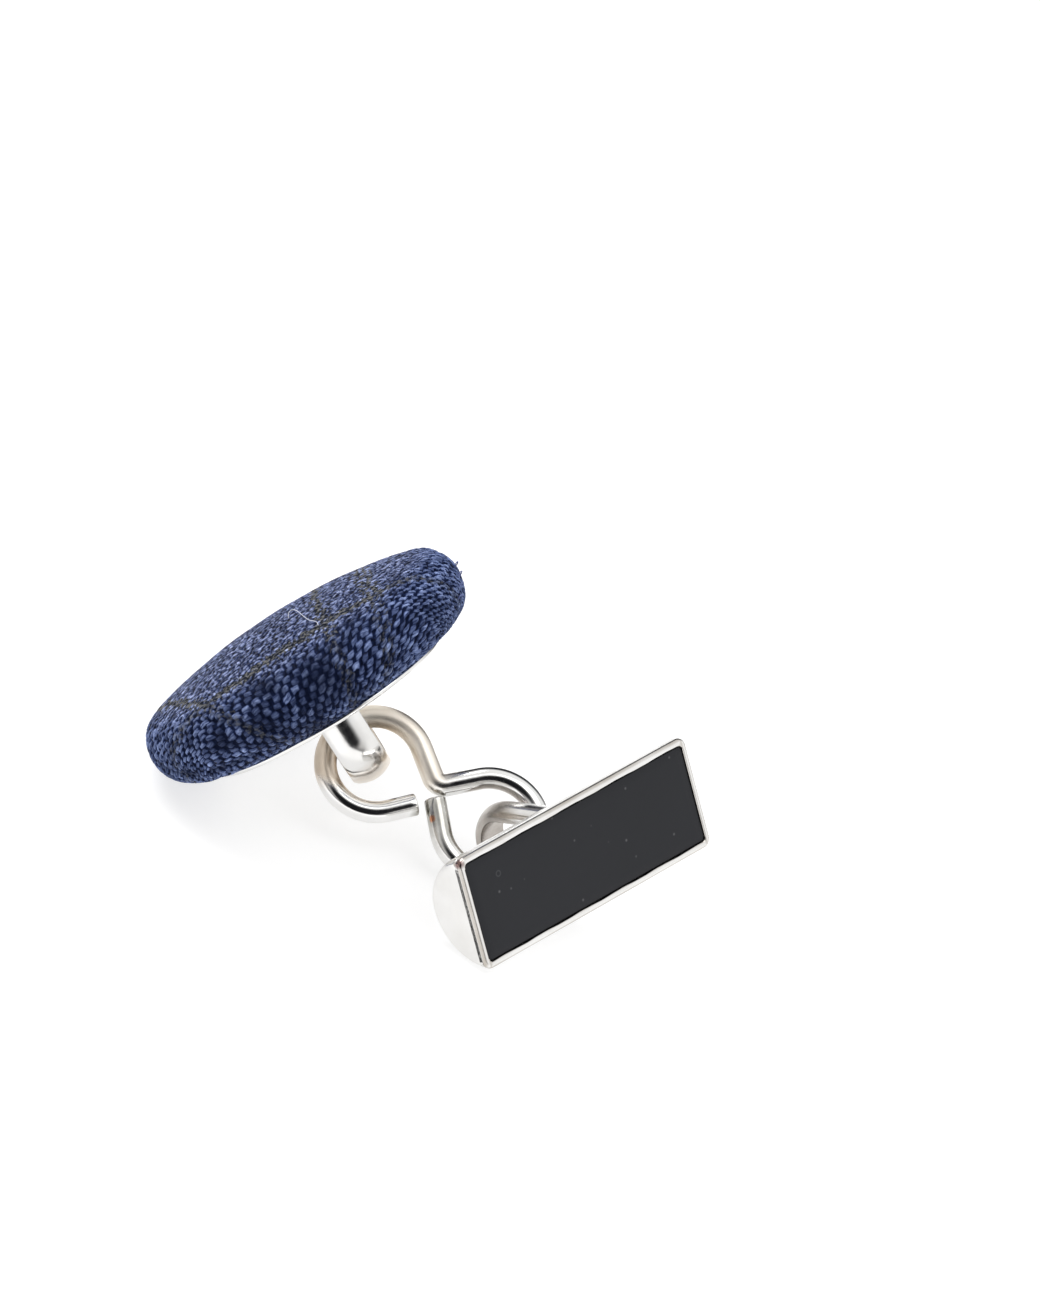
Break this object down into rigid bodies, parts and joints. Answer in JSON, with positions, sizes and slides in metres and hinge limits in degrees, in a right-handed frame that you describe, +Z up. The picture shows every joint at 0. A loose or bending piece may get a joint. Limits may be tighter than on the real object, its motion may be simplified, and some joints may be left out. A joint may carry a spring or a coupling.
{
  "type": "cufflink",
  "caption": "Silk-covered domed button joined to a D-shaped silver toggle bar with a dark inlay by a loose figure-eight link of round wire.",
  "frame": {"origin": "on the surface that the cufflink lies on, under the middle of its box", "axes": "+Z up from the surface, +X to the right of the usual view, from the button to the toggle, +Y away from the viewer"},
  "size_m": [0.0291, 0.0208, 0.015],
  "materials": {
    "silk": "navy silk weave with a faint dark windowpane",
    "silver_plate": "polished silver",
    "silver_wire": "polished silver with light tarnish",
    "silver_bar": "polished silver with fine wear",
    "inlay": "satin charcoal"
  },
  "bodies": {
    "root": {"silk_cover": "silk", "button_back": "silver_plate", "figure_eight_link": "silver_wire", "toggle_bar": "silver_bar", "toggle_inlay": "inlay"}
  },
  "joints": []
}
